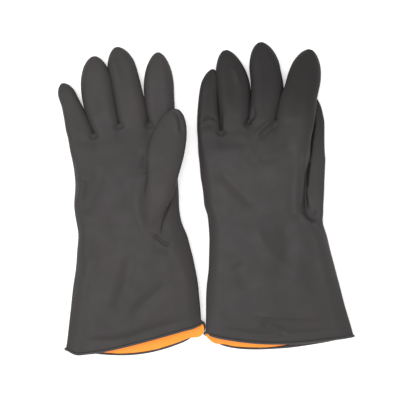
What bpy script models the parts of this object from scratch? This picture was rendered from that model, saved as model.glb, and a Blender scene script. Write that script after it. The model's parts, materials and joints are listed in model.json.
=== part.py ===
"""A pair of long two-layer rubber gloves, laid flat side by side with the fingers pointing along +Y.

The right-hand glove lies palm up at -X with its thumb across the palm. The left-hand glove lies back up
at +X with its thumb underneath. Each glove is a black outer skin, a bonded orange inner layer and a
rolled bead round the cuff's mouth. The stalls and the cuff are separate bodies, so that each can bend
where rubber bends over a joint of the hand. Dimensions are in millimetres and become metres where a mesh
is made.
"""
import math

import bmesh
import bpy
from mathutils import Vector

MM = 0.001

# Walls: the black skin, the clearance between the two layers, and the orange layer.
SKIN_WALL = 0.7
LAYER_GAP = 0.3
LINING_WALL = 0.4
LAYERS = {
    "skin": (0.0, SKIN_WALL),
    "lining": (SKIN_WALL + LAYER_GAP, SKIN_WALL + LAYER_GAP + LINING_WALL),
}

# The rolled bead round the cuff's mouth, and its clearance to the rim.
BEAD_RADIUS = 1.6
BEAD_GAP = 0.4

# Joints: half the clearance at the axis, and the angles that the edges leave free on either side of it.
EDGE_GAP = 0.3
FINGER_BEND = 70.0
FINGER_BACK = 16.0
TIP_RATIO = 0.6
THUMB_SWING = 36.0
WRIST_BEND = 40.0
WRIST_BACK = 20.0

# Cross-sections are flattened tubes: superellipses with this many corners and these exponents.
STALL_SIDES = 12
STALL_ROUNDNESS = 2.3
BODY_SIDES = 24
BODY_ROUNDNESS = 2.5

# A stall keeps its full width up to this fraction of its length and closes with an elliptical tip.
TIP_START = 0.56
# The tip is never narrower than BLUNT_END of the width, it keeps TIP_FULLNESS of its thickness all the way,
# and its last face is TIP_CAP times the section before it.
TIP_RINGS = (0.78, 0.91, 0.98)
BLUNT_END = 0.18
TIP_FULLNESS = 0.35
TIP_CAP = 0.45
# A finger's root starts this deep inside the hand, at this fraction of its section, and has its full
# section less the slack from ROOT_START on. It is drawn through one more section, at this fraction of the
# way to its mouth.
ROOT_DEPTH = 24.0
ROOT_TAPER = 0.4
ROOT_START = 10.0
ROOT_SLACK = 0.6
ROOT_MIDDLE = 0.4
# How far a hollow runs past a mouth that it opens.
OVERRUN = 12.0
# Where along the thumb's stall the piece that swings begins, level with the web between thumb and index
# finger.
THUMB_MOUTH = 0.33
# Where the sections of the thumb's base lie between its start inside the hand and its mouth.
THUMB_ROOT_STEPS = (0.0, 0.35, 0.7)
# How far the hand's end stands out in the middle, where the webs between the fingers are.
KNUCKLE_ARCH = 11.0

# The wrist's axis, and how far the cuff's sections are sunk into the surface, which makes their underside
# flat.
WRIST_Y = -31.0
WRIST_HEIGHT = 9.5
CUFF_SINK = 1.0

# The origin is on the surface that the pair lies on, under the middle of its footprint.
FOOTPRINT_MIDDLE = Vector((0.7, -1.3, 0.0))

COLOURS = {
    "skin": ((0.055, 0.055, 0.052, 1.0), 0.45),
    "lining": ((0.95, 0.33, 0.05, 1.0), 0.5),
    "bead": ((0.05, 0.05, 0.048, 1.0), 0.4),
}

# A finger's stall: the middle of its root at the web, its tip, half its flat width at the root and at its
# belly, the height of its middle at the root and at the tip, half its thickness, and where along it the
# knuckles are. The palm's sections run from the roots to the wrist: y at the left and right edges, x at
# both edges, half the height, the height of the middle and how much higher the right edge lies than the
# middle. The cuff's sections, from wrist to mouth: fraction of the way, x at both edges, half the height. A
# lip of the mouth: y at its left and right ends, how far it bulges between them and how the bulge leans.
GLOVES = {
    "right": {
        "palm_up": True,
        "fingers": {
            "index": ((-49.0, 84.0), (-54.5, 166.5), 15.0, 16.2, (7.2, 6.2), 6.2, (0.32, 0.61)),
            "middle": ((-81.5, 84.0), (-99.5, 172.0), 16.0, 15.2, (7.2, 6.2), 6.2, (0.31, 0.60)),
            "ring": ((-114.5, 81.0), (-127.5, 162.0), 15.2, 15.6, (7.2, 6.2), 6.2, (0.31, 0.60)),
            "little": ((-143.0, 73.0), (-162.0, 130.5), 13.4, 11.4, (6.8, 5.6), 5.6, (0.34, 0.66)),
        },
        "thumb": ((-51.5, 14.0), (-34.0, 100.5), 18.5, 19.4, (25.5, 20.5), 6.2),
        "thumb_root": ((-62.0, -34.0), 12.0, 9.0, 5.0),
        "palm": (
            ((60.0, 76.0), (-154.6, -34.0), 6.8, 6.8, 0.0),
            ((50.0, 50.0), (-153.2, -32.8), 8.6, 7.8, 0.0),
            ((23.0, 23.0), (-147.5, -32.8), 10.0, 9.0, 0.0),
            ((-4.0, -4.0), (-148.5, -31.7), 10.5, 9.5, 0.0),
            ((WRIST_Y, WRIST_Y), (-145.3, -27.1), 10.5, WRIST_HEIGHT, 0.0),
        ),
        "cuff": (
            (0.0, (-145.3, -27.1), 10.5),
            (0.22, (-145.6, -16.0), 11.0),
            (0.5, (-149.5, -9.8), 10.5),
            (0.78, (-154.0, -6.6), 9.0),
            (1.0, (-157.5, -1.8), 7.0),
        ),
        "upper_lip": (-172.0, -144.0, 9.0, 0.8),
        "lower_lip": (-172.0, -147.0, 18.5, 1.36),
    },
    "left": {
        "palm_up": False,
        "fingers": {
            "little": ((4.6, 75.0), (6.0, 147.5), 12.6, 10.2, (7.0, 5.6), 5.6, (0.31, 0.60)),
            "ring": ((35.0, 82.0), (27.0, 168.5), 15.5, 15.0, (10.5, 6.2), 6.2, (0.31, 0.60)),
            "middle": ((68.0, 86.0), (68.0, 177.8), 14.8, 15.9, (15.5, 6.2), 6.2, (0.31, 0.60)),
            "index": ((102.5, 86.0), (119.5, 170.0), 18.2, 18.0, (21.5, 6.2), 6.2, (0.41, 0.68)),
        },
        "thumb": ((117.5, 16.0), (118.5, 110.0), 18.0, 18.6, (5.6, 5.2), 5.2),
        "thumb_root": ((108.0, -32.0), 14.0, 7.5, 5.0),
        "palm": (
            ((63.0, 78.0), (-7.0, 120.5), 7.0, 14.0, 10.0),
            ((50.0, 50.0), (-5.8, 119.0), 8.5, 14.2, 10.4),
            ((23.0, 23.0), (-2.4, 116.8), 9.5, 14.6, 10.0),
            ((-6.0, -6.0), (2.0, 117.5), 10.0, 12.6, 6.5),
            ((WRIST_Y, WRIST_Y), (6.7, 135.0), 10.5, WRIST_HEIGHT, 0.0),
        ),
        "cuff": (
            (0.0, (6.7, 135.0), 10.5),
            (0.22, (6.5, 144.0), 11.0),
            (0.5, (5.0, 153.0), 10.5),
            (0.78, (3.0, 162.0), 9.0),
            (1.0, (1.8, 168.0), 7.0),
        ),
        "upper_lip": (-154.5, -154.5, 9.0, 0.85),
        "lower_lip": (-156.0, -155.5, 17.0, 0.85),
    },
}


def clear_scene():
    for old in list(bpy.data.objects):
        bpy.data.objects.remove(old, do_unlink=True)


def new_collection(name):
    collection = bpy.data.collections.new(name)
    bpy.context.scene.collection.children.link(collection)
    return collection


def make_material(name, colour, roughness):
    material = bpy.data.materials.new(name)
    material.use_nodes = True
    shader = material.node_tree.nodes["Principled BSDF"]
    shader.inputs["Base Color"].default_value = colour
    shader.inputs["Roughness"].default_value = roughness
    shader.inputs["Metallic"].default_value = 0.0
    return material


def make_object(name, bm, collection, layer=None):
    """A mesh object from millimetre geometry, with its normals facing out and a material of its own."""
    bmesh.ops.translate(bm, vec=-FOOTPRINT_MIDDLE, verts=bm.verts)
    bmesh.ops.scale(bm, vec=(MM, MM, MM), verts=bm.verts)
    bmesh.ops.recalc_face_normals(bm, faces=bm.faces)
    mesh = bpy.data.meshes.new(name)
    bm.to_mesh(mesh)
    bm.free()
    obj = bpy.data.objects.new(name, mesh)
    collection.objects.link(obj)
    if layer:
        colour, roughness = COLOURS[layer]
        mesh.materials.append(make_material(name, colour, roughness))
        mesh.shade_smooth()
        mesh.set_sharp_from_angle(angle=math.radians(40))
    return obj


def set_origin(obj, point):
    """Put the object's origin on a joint's axis without moving its mesh."""
    offset = (point - FOOTPRINT_MIDDLE) * MM
    obj.data.transform(obj.matrix_world.Translation(-offset))
    obj.location = offset


def superellipse(sides, roundness):
    """Corners (across, up) of a flattened tube's cross-section, counter-clockwise from its right edge."""
    corners = []
    for i in range(sides):
        angle = 2 * math.pi * i / sides
        across = math.copysign(abs(math.cos(angle)) ** (2 / roundness), math.cos(angle))
        up = math.copysign(abs(math.sin(angle)) ** (2 / roundness), math.sin(angle))
        corners.append((across, up))
    return corners


def lerp(a, b, t):
    return a + (b - a) * t


def add_ring(bm, points):
    return [bm.verts.new(p) for p in points]


def bridge(bm, first, second):
    """Join two rings. Every four-cornered gap is split the same way, so nested walls stay parallel."""
    for i in range(len(first)):
        j = (i + 1) % len(first)
        bm.faces.new((first[i], first[j], second[j]))
        bm.faces.new((first[i], second[j], second[i]))


def cap(bm, ring):
    """Close a ring with a strip from its right edge to its left, so that the end curves one way only."""
    last = len(ring) // 2 - 1
    bm.faces.new((ring[0], ring[1], ring[-1]))
    for i in range(1, last):
        bm.faces.new((ring[i], ring[i + 1], ring[-i]))
        bm.faces.new((ring[i + 1], ring[-i - 1], ring[-i]))
    bm.faces.new((ring[last], ring[last + 1], ring[last + 2]))


def loft(rings):
    """A closed solid through the rings, with both ends capped."""
    bm = bmesh.new()
    made = [add_ring(bm, ring) for ring in rings]
    for first, second in zip(made, made[1:]):
        bridge(bm, first, second)
    cap(bm, made[0])
    cap(bm, made[-1])
    return bm


def wall(outer, inner, closed):
    """A wall between two sets of rings: open at the first ring, and closed by a cap or open at the last."""
    bm = bmesh.new()
    outside = [add_ring(bm, ring) for ring in outer]
    inside = [add_ring(bm, ring) for ring in inner]
    for made in (outside, inside):
        for first, second in zip(made, made[1:]):
            bridge(bm, first, second)
        if closed:
            cap(bm, made[-1])
    bridge(bm, outside[0], inside[0])
    if not closed:
        bridge(bm, outside[-1], inside[-1])
    return bm


class Stall:
    """A finger or thumb stall: a flattened tube along a straight line, closed by a rounded tip."""

    def __init__(self, root, tip, root_half, belly_half, heights, thickness):
        self.root = Vector(root)
        self.along = Vector(tip) - self.root
        self.length = self.along.length
        self.along.normalize()
        self.side = Vector((self.along.y, -self.along.x))
        self.root_half = root_half
        self.belly_half = belly_half
        self.heights = heights
        self.thickness = thickness

    def centre(self, t):
        spot = self.root + self.along * (self.length * t)
        return Vector((spot.x, spot.y, lerp(*self.heights, t)))

    def half_sizes(self, t, inset):
        """Half the width and half the thickness of the section at t, less the inset."""
        wide = lerp(self.root_half, self.belly_half, min(max(t, 0.0) / TIP_START, 1.0))
        closing = 1.0
        if t > TIP_START:
            closing = math.sqrt(max(1.0 - ((t - TIP_START) / (1.0 - TIP_START)) ** 2, BLUNT_END**2))
        return wide * closing - inset, self.thickness * lerp(TIP_FULLNESS, 1.0, closing) - inset

    def ring(self, t, inset, edge=None):
        """The section at t. An edge function moves each corner along the stall, to slant an open end."""
        half_width, half_height = self.half_sizes(t, inset)
        middle = self.centre(t)
        points = []
        for across, up in superellipse(STALL_SIDES, STALL_ROUNDNESS):
            sideways, rise = across * half_width, up * half_height
            shift = edge(sideways, rise) if edge else 0.0
            flat = self.side * sideways + self.along * shift
            points.append(middle + Vector((flat.x, flat.y, rise)))
        return points

    def tip_rings(self, inset):
        """The sections that close the tip, drawn back by the inset."""
        back = inset / self.length
        rings = [self.ring(t - back, inset) for t in TIP_RINGS]
        end = self.ring(TIP_RINGS[-1] - back, inset)
        middle = self.centre(1.0 - back)
        heart = self.centre(TIP_RINGS[-1] - back)
        rings.append([middle + (p - heart) * TIP_CAP for p in end])
        return rings


def slanted(sign, closing, closing_angle, opening_angle):
    """How far an open end stands back from its joint's axis at a corner (sideways, rise) of its section.

    closing picks the coordinate that points towards the side which closes as the joint turns."""

    def edge(sideways, rise):
        reach = closing(sideways, rise)
        angle = closing_angle if reach > 0 else opening_angle
        return sign * (EDGE_GAP + abs(reach) * math.tan(math.radians(angle) / 2))

    return edge


def make_finger(glove, finger, spec, palm_up, parts):
    """The two moving pieces of a finger's stall, each with its skin and lining. Returns the stall."""
    *shape, knuckles = spec
    stall = Stall(*shape)
    palmward = (lambda sideways, rise: rise) if palm_up else (lambda sideways, rise: -rise)
    first, second = knuckles
    bends = ((FINGER_BEND, FINGER_BACK), (FINGER_BEND * TIP_RATIO, FINGER_BACK * TIP_RATIO))
    for layer, (outside, inside) in LAYERS.items():
        after_first = slanted(1, palmward, *bends[0])
        before_second = slanted(-1, palmward, *bends[1])
        after_second = slanted(1, palmward, *bends[1])
        walls = [
            [stall.ring(first, inset, after_first), stall.ring(second, inset, before_second)]
            for inset in (outside, inside)
        ]
        knuckle = make_object(f"{glove}_{finger}_knuckle_{layer}", wall(*walls, closed=False), parts, layer)
        set_origin(knuckle, stall.centre(first))
        walls = [
            [stall.ring(second, inset, after_second)] + stall.tip_rings(inset)
            for inset in (outside, inside)
        ]
        tip = make_object(f"{glove}_{finger}_tip_{layer}", wall(*walls, closed=True), parts, layer)
        set_origin(tip, stall.centre(second))
    stall.mouth = (first, slanted(-1, palmward, *bends[0]))
    return stall


def make_thumb(glove, spec, parts):
    """The thumb's stall, which swings about its root. Returns the stall."""
    stall = Stall(*spec)
    outward = lambda sideways, rise: sideways
    for layer, (outside, inside) in LAYERS.items():
        start = slanted(1, outward, THUMB_SWING, 0.0)
        walls = [
            [stall.ring(THUMB_MOUTH, inset, start), stall.ring(TIP_START, inset)] + stall.tip_rings(inset)
            for inset in (outside, inside)
        ]
        thumb = make_object(f"{glove}_thumb_{layer}", wall(*walls, closed=True), parts, layer)
        set_origin(thumb, stall.centre(THUMB_MOUTH))
    stall.mouth = (THUMB_MOUTH, slanted(-1, outward, THUMB_SWING, 0.0))
    return stall


def wrist_edge(sign, palm_up):
    """How far an edge stands back from the wrist's axis at a height above it."""
    palmward = (lambda x, rise: rise) if palm_up else (lambda x, rise: -rise)
    return slanted(sign, palmward, WRIST_BEND, WRIST_BACK)


def palm_ring(section, inset, shift=None, arch=0.0):
    """A section of the hand. Corners below the surface that the glove lies on are raised to it."""
    (left_y, right_y), (left, right), half_height, height, tilt = section
    half_width = (right - left) / 2 - inset
    points = []
    for across, up in superellipse(BODY_SIDES, BODY_ROUNDNESS):
        x = (left + right) / 2 + across * half_width
        z = max(height + tilt * across + up * (half_height - inset), inset)
        y = lerp(left_y, right_y, (across + 1) / 2) + arch * math.cos(math.pi * across / 2)
        if shift:
            y += shift(x, z - WRIST_HEIGHT)
        points.append(Vector((x, y, z)))
    return points


def palm_solid(glove, inset, overrun):
    """The hand without its stalls. An overrun carries it straight on past the wrist, to open a hollow."""
    sections = glove["palm"]
    (left_y, right_y), *rest = sections[0]
    rings = [palm_ring(((left_y - inset, right_y - inset), *rest), inset, arch=KNUCKLE_ARCH)]
    rings += [palm_ring(section, inset) for section in sections[1:-1]]
    last = palm_ring(sections[-1], inset, wrist_edge(1, glove["palm_up"]))
    rings.append(last)
    if overrun:
        rings.append([p + Vector((0, -overrun, 0)) for p in last])
    return loft(rings)


def root_solid(stall, inset, overrun):
    """The stretch of a finger's stall that belongs to the hand, from inside the palm to the first knuckle."""
    t, edge = stall.mouth
    start = stall.ring(-ROOT_START / stall.length, inset + ROOT_SLACK)
    middle = stall.centre(0.0)
    along = Vector((*stall.along, 0))
    deep = [middle - along * ROOT_DEPTH + (p - middle) * ROOT_TAPER for p in stall.ring(0.0, inset)]
    rings = [deep, start, stall.ring(t * ROOT_MIDDLE, inset), stall.ring(t, inset, edge)]
    if overrun:
        rings.append([p + along * overrun for p in rings[-1]])
    return loft(rings)


def thumb_root_solid(stall, root, inset, overrun):
    """The thumb's base, from inside the hand up to the web and on to where the stall begins to swing."""
    (x, y), half_width, height, half_height = root
    start = Vector((x, y, height))
    end = stall.centre(0.0)
    end_width, end_height = stall.half_sizes(0.0, 0.0)
    direction = Vector((*stall.side, 0))
    rings = []
    for step in THUMB_ROOT_STEPS:
        middle = start.lerp(end, step)
        middle.z = lerp(start.z, end.z, math.sin(math.pi * step / 2))
        wide = lerp(half_width, end_width, step) - inset
        high = lerp(half_height, end_height, step) - inset
        corners = superellipse(STALL_SIDES, STALL_ROUNDNESS)
        rings.append([middle + direction * (a * wide) + Vector((0, 0, u * high)) for a, u in corners])
    rings.append(stall.ring(0.0, inset))
    t, edge = stall.mouth
    rings.append(stall.ring(t, inset, edge))
    if overrun:
        rings.append([p + Vector((*stall.along, 0)) * overrun for p in rings[-1]])
    return loft(rings)


def add_boolean(obj, operand, operation):
    operand.hide_render = True
    operand.display_type = "WIRE"
    modifier = obj.modifiers.new(operand.name, "BOOLEAN")
    modifier.object = operand
    modifier.operation = operation
    modifier.solver = "EXACT"


def joined_solid(label, glove, fingers, thumb, inset, overrun, place):
    """The palm, the roots of the fingers and the thumb's base as one solid, drawn in by the inset."""
    collection, cutters, layer = place
    body = make_object(label, palm_solid(glove, inset, overrun), collection, layer)
    solids = {finger: root_solid(stall, inset, overrun) for finger, stall in fingers.items()}
    solids["thumb"] = thumb_root_solid(thumb, glove["thumb_root"], inset, overrun)
    for stall_name, solid in solids.items():
        operand = make_object(f"{label}_{stall_name}", solid, cutters)
        add_boolean(body, operand, "UNION")
    return body


def make_hand(name, glove, fingers, thumb, parts, cutters):
    """The hand: palm and back, the roots of the four fingers and the base of the thumb in one wall."""
    for layer, (outside, inside) in LAYERS.items():
        label = f"{name}_hand_{layer}"
        hand = joined_solid(label, glove, fingers, thumb, outside, 0.0, (parts, cutters, layer))
        place = (cutters, cutters, None)
        hollow = joined_solid(f"{label}_hollow", glove, fingers, thumb, inside, OVERRUN, place)
        add_boolean(hand, hollow, "DIFFERENCE")


def lip_y(lip, u):
    """The mouth's y at a fraction u of the way from its left to its right end."""
    left, right, bulge, lean = lip
    return lerp(left, right, u) - bulge * math.sin(math.pi * min(max(u, 0.0), 1.0) ** lean)


def mouth_y(glove, across, up):
    """The rim's y at a corner of the mouth's section: the two lips meet at the ends."""
    u = (across + 1) / 2
    upper, lower = lip_y(glove["upper_lip"], u), lip_y(glove["lower_lip"], u)
    return lerp(lower, upper, (up + 1) / 2)


def cuff_ring(glove, section, inset):
    fraction, (left, right), half_height = section
    edge = wrist_edge(-1, glove["palm_up"])
    half_width = (right - left) / 2 - inset
    height = half_height - CUFF_SINK
    points = []
    for across, up in superellipse(BODY_SIDES, BODY_ROUNDNESS):
        x = (left + right) / 2 + across * half_width
        z = max(height + up * (half_height - inset), inset)
        wrist_y = WRIST_Y + edge(x, z - WRIST_HEIGHT) * (1 - fraction)
        points.append(Vector((x, lerp(wrist_y, mouth_y(glove, across, up), fraction), z)))
    return points


def make_cuff(name, glove, parts):
    hinge = Vector((sum(glove["cuff"][0][1]) / 2, WRIST_Y, WRIST_HEIGHT))
    for layer, insets in LAYERS.items():
        walls = [[cuff_ring(glove, section, inset) for section in glove["cuff"]] for inset in insets]
        cuff = make_object(f"{name}_cuff_{layer}", wall(*walls, closed=False), parts, layer)
        set_origin(cuff, hinge)


def make_bead(name, glove, parts):
    """The rolled edge: a closed round bar along the mouth, just past the rim of both layers."""
    rim = cuff_ring(glove, glove["cuff"][-1], BEAD_RADIUS / 2)
    curve = bpy.data.curves.new(f"{name}_cuff_bead", "CURVE")
    curve.dimensions = "3D"
    curve.bevel_depth = BEAD_RADIUS * MM
    curve.bevel_resolution = 2
    spline = curve.splines.new("POLY")
    spline.points.add(len(rim) - 1)
    spline.use_cyclic_u = True
    for i, point in enumerate(spline.points):
        run = (rim[(i + 1) % len(rim)] - rim[i - 1]).normalized()
        away = Vector((0.0, -1.0, 0.0))
        away = (away - run * away.dot(run)).normalized()
        middle = rim[i] + away * (BEAD_RADIUS + BEAD_GAP)
        middle.z = max(middle.z, BEAD_RADIUS)
        point.co = (*((middle - FOOTPRINT_MIDDLE) * MM), 1.0)
    bead = bpy.data.objects.new(f"{name}_cuff_bead", curve)
    parts.objects.link(bead)
    curve.materials.append(make_material(f"{name}_cuff_bead", *COLOURS["bead"]))


def main():
    clear_scene()
    parts = new_collection("rubber_gloves")
    cutters = new_collection("cutters")
    for name, glove in GLOVES.items():
        fingers = {
            finger: make_finger(name, finger, spec, glove["palm_up"], parts)
            for finger, spec in glove["fingers"].items()
        }
        thumb = make_thumb(name, glove["thumb"], parts)
        make_hand(name, glove, fingers, thumb, parts, cutters)
        make_cuff(name, glove, parts)
        make_bead(name, glove, parts)


main()
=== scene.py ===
"""The looks of a pair of long two-layer rubber gloves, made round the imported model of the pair.

The right-hand glove lies palm up at -X with its thumb across the palm. The left-hand glove lies back up at +X with
its thumb underneath. Each glove is one smooth surface: a cage of points that the surface passes through is
subdivided, its folds are pushed in, and it is then cut at the joints into pieces with a black outer wall and an
orange inner wall. Places are in millimetres until a mesh is made.
"""

import json
import math

import bpy
import numpy as np
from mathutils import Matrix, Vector
from mathutils.bvhtree import BVHTree


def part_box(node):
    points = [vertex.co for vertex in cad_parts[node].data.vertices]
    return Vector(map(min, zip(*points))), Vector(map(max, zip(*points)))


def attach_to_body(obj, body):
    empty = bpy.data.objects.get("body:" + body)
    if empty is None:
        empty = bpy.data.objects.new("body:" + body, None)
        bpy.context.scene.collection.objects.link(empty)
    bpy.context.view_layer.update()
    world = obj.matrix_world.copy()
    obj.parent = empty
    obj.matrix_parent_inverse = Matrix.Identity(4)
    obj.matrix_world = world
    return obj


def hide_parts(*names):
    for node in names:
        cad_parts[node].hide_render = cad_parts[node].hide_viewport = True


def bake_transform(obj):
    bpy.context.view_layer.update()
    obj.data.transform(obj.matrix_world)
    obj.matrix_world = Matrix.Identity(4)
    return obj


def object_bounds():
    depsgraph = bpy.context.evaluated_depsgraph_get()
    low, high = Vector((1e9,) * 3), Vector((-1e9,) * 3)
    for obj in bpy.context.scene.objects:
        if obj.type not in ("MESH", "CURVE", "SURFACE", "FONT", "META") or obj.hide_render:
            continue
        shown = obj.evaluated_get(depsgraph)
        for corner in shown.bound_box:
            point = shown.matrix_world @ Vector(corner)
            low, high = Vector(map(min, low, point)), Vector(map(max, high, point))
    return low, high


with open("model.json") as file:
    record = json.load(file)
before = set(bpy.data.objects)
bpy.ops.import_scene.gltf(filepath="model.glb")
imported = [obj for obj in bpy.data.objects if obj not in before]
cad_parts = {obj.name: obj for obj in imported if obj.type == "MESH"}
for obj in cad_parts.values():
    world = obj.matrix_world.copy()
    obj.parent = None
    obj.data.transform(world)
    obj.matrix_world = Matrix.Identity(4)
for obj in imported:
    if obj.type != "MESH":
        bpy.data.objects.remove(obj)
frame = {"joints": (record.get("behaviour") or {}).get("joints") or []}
cad_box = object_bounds()

MM = 0.001
JOINTS = {joint["name"]: joint for joint in frame["joints"]}

# The outlines below are laid out from a point this far from the frame's origin.
LAYOUT = np.array((-0.7, 1.3, 0.0))

# Columns of points: the body has this many from its left edge to its right, and every finger takes four of the gaps
# between them. A finger's and the thumb's sheets have points at these shares across.
COLUMNS = 17
FINGER_SPAN = 4
FINGER_ACROSS = (-1.0, -0.62, 0.0, 0.62, 1.0)
THUMB_ACROSS = (-0.93, -0.72, -0.39, 0.0, 0.39, 0.72, 0.93)
# Sections are flattened tubes: a superellipse of this power, on upright sides of these half heights.
SWELL_POWER = 2.6
SIDE = 2.0
STALL_SIDE = 1.7
# The lowest that a wall lies above the surface that the pair rests on.
REST = 0.4

# The cuff's sections, as shares of the way from the wrist to the mouth. By 1 / EVEN_RATE of the way its columns are
# evenly spaced.
CUFF_SECTIONS = (1.0, 0.97, 0.9, 0.79, 0.68, 0.56, 0.44, 0.33, 0.22, 0.11)
EVEN_RATE = 2.5
# The hand's columns turn into the fingers' over this many rows, up to the row just below the roots. That row is this
# far from the roots, and its webs are this full.
ROOT_ROWS = 3
WEB_ROW = 7.0
WEB_FULLNESS = 0.62

# A stall's end closes as a blunt bullet, with this power, and keeps this share of its thickness at the tip. It has
# sections at these distances from the tip, as shares of the length that closes.
BULLET_POWER = 0.58
TIP_FULLNESS = 0.3
CLOSING_STEPS = (0.8, 0.55, 0.34, 0.18, 0.08, 0.022)
# A finger: where its first section lies, and the distances over which its sections turn from the line of the roots to
# square across it and lose the root's roll.
FIRST_SECTION = 7.0
ROOT_TURN = 22.0
ROLL_TURN = 34.0
# Its last section before the first joint lies this far past the bend, the closing sections begin this far from its
# middle, and a gap longer than the last value gets one more section.
BEFORE_BEND = 2.0
AFTER_MIDDLE = 5.0
LONGEST_GAP = 14.0

# The thumb: the body rows that its opening takes, and its first column when it opens on the palm.
HOLE_ROWS = 7
HOLE_COLUMN = 12
# y at which its two slanted sections cross its line, and the share of the slant that the second one keeps.
SLANT_MIDDLE = 10.75
TURN_MIDDLE = 24.0
TURN_SLANT = 0.47
# How much each of the sixteen points of its first section is pulled towards the body, for a soft left flank.
FLANK_PULL = (1.0, 0.75, 0.4, 0.15) + 9 * (0.0,) + (0.3, 0.6, 1.0)
# Where its sections near the joint lie, from the joint: before it, after it, and the first one that may close.
THUMB_STEPS = (-6.5, 8.0, 13.0)
THUMB_ROLL_TURN = 75.0

# Levels of subdivision for the black wall and for the orange one behind it, and how the cage is fitted to its points.
FINE = 3
COARSE = 2
FITTING_ROUNDS = 14
FITTING_GAIN = 1.15
# Folds: the share of its length over which a fold fades at either end, the share of its height that it keeps there,
# and how far below its ceiling it begins to fade.
END_FADE = 0.22
END_HEIGHT = 0.15
CEILING_FADE = 3.0
# In the orange wall a groove is wider by this much, this many times as deep, and then deeper by this much.
BEHIND_WIDER = 2.0
BEHIND_DEEPER = (1.15, 0.2)
# Evening out, as reach and rounds: along the roots, and at the thumb's tip. Round its opening, only the rounds.
ROOT_EVENING = (5.0, 5)
THUMB_TIP_EVENING = (3.0, 3)
OPENING_ROUNDS = 6
EVENING_STEP = 0.6

# Walls: the black one, the orange one, the clearance between them, and how far inside the black wall's front every
# orange face must lie.
BLACK_WALL = 0.7
ORANGE_WALL = 0.45
LAYER_GAP = 0.05
LEAST_DEPTH = 0.35

# How far from a joint's axis its bend begins and ends, along the stall or across the wrist.
FINGER_ZONE = 7.5
THUMB_ZONE = (-5.5, 8.0)
WRIST_ZONE = 20.0

# rows: the hand's rows from the wrist, as y, x at both edges, height of both edges, how far the top sheet rises and
#   the bottom sheet drops. bend_row is the first of them in the hand's pieces; those before it are in the cuff's.
# cuff: sections from the wrist to the mouth, as the share of the way and then what a row has after its y.
# upper_lip, lower_lip: y at the left and right ends of the mouth, its bulge and how the bulge leans.
# posts: where the line of the roots meets the left edge, the three webs and the right edge, with their heights.
# fingers: a centre line from root to tip as x, y, height and half width, the length that closes, half the thickness.
# thumb: the same, and how much higher its right edge lies than its middle.
# tuck: the mouth's folded corner, as x, reach, and how far in and how far down the bead lies there.
# thick_roll: where the bead is rolled more thickly, as x, reach and how much.
# flank: how much of FLANK_PULL the thumb takes. opening_reach: how widely its opening is evened out.
# slant: how far back the right edge and the top of its first section lie.
# hole: its opening. In the palm, the left and right sides; at the body's edge, also the middle and a corner.
RIGHT = {
    "rows": (
        (-42, -143.2, -21.8, 8.5, 8.5, 8.5, 6),
        (-30.5, -144.4, -26.4, 8.5, 8.5, 8.5, 6),
        (-19, -146.2, -29.3, 8.5, 8.5, 8.3, 6),
        (-7.5, -147.4, -30.5, 8.2, 8.5, 8, 6),
        (4.5, -146.8, -30.7, 8, 8.5, 8, 6),
        (16, -146.4, -31.2, 8, 8.5, 7.8, 6),
        (28, -147.4, -31.8, 7.8, 8.5, 7.2, 5.6),
        (41, -149.6, -31.8, 7.5, 8, 6.6, 5.2),
        (54, -152.6, -32, 7.2, 7.5, 6, 4.8),
    ),
    "bend_row": 4,
    "cuff": (
        (0, -143.2, -21.8, 8.5, 8.5, 8.5, 6),
        (0.25, -145.4, -14.6, 8.5, 8, 9, 6),
        (0.5, -149.2, -9.8, 8, 7.5, 8.6, 6),
        (0.75, -153, -7, 7, 6.8, 7.2, 5.6),
        (0.95, -155.9, -5.4, 5.6, 5.6, 5.8, 4.6),
        (1, -157.2, -2.2, 5.2, 5.6, 5.4, 4.2),
    ),
    "upper_lip": (-171.5, -143.2, 9, 0.5),
    "lower_lip": (-172.6, -153.2, 14.6, 1.1),
    "posts": ((-156.2, 72), (-126.1, 72.6), (-97.7, 84), (-63.6, 85), (-34.5, 80)),
    "post_heights": (6.6, 6.6, 6.8, 7, 7),
    "fingers": {
        "little": (((-149.4, 98.3, 6.2, 11.6), (-154.5, 111.9, 5.9, 9.9), (-162.8, 131.4, 5.4, 0)), 18, 5.3),
        "ring": (((-119.5, 105, 6.9, 17.3), (-123, 125.5, 6.7, 17.6), (-126.3, 162.4, 6.2, 0)), 36, 6.3),
        "middle": (
            ((-84.7, 105, 7, 16.5), (-89, 125.5, 6.8, 16), (-92.6, 141, 6.6, 15.8), (-101.2, 172.8, 6.2, 0)),
            29, 6.3,
        ),
        "index": (((-51.3, 105, 7, 16.1), (-52.6, 125, 6.8, 16.4), (-53.6, 167, 6.2, 0)), 43, 6.3),
    },
    "thumb": (
        (
            (-54.5, -12, 21.8, 12.8), (-49.5, 11, 23.6, 15.2), (-46.5, 32, 24, 18.4),
            (-45, 46, 23.6, 20.4), (-41.6, 62, 22.4, 20.4), (-31.4, 101.2, 20.4, 0),
        ),
        44, 6.2, 0,
    ),
    "tuck": (-8, 9, 3.2, 2.2),
    "thick_roll": (-150, 20, 0.3),
    "flank": 0.3,
    "opening_reach": 9,
    "slant": (0, 20.75),
    "hole": {
        "side": False,
        "left": ((-66, -42), (-70.5, -31), (-74.5, -19), (-77, -7.5), (-78, 4.5), (-77, 16), (-74, 28)),
        "right": ((-49.6, -41.5), (-49, -31), (-47.6, -19), (-45, -7), (-41.4, 5), (-38.6, 17), (-38.6, 29)),
    },
}
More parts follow.
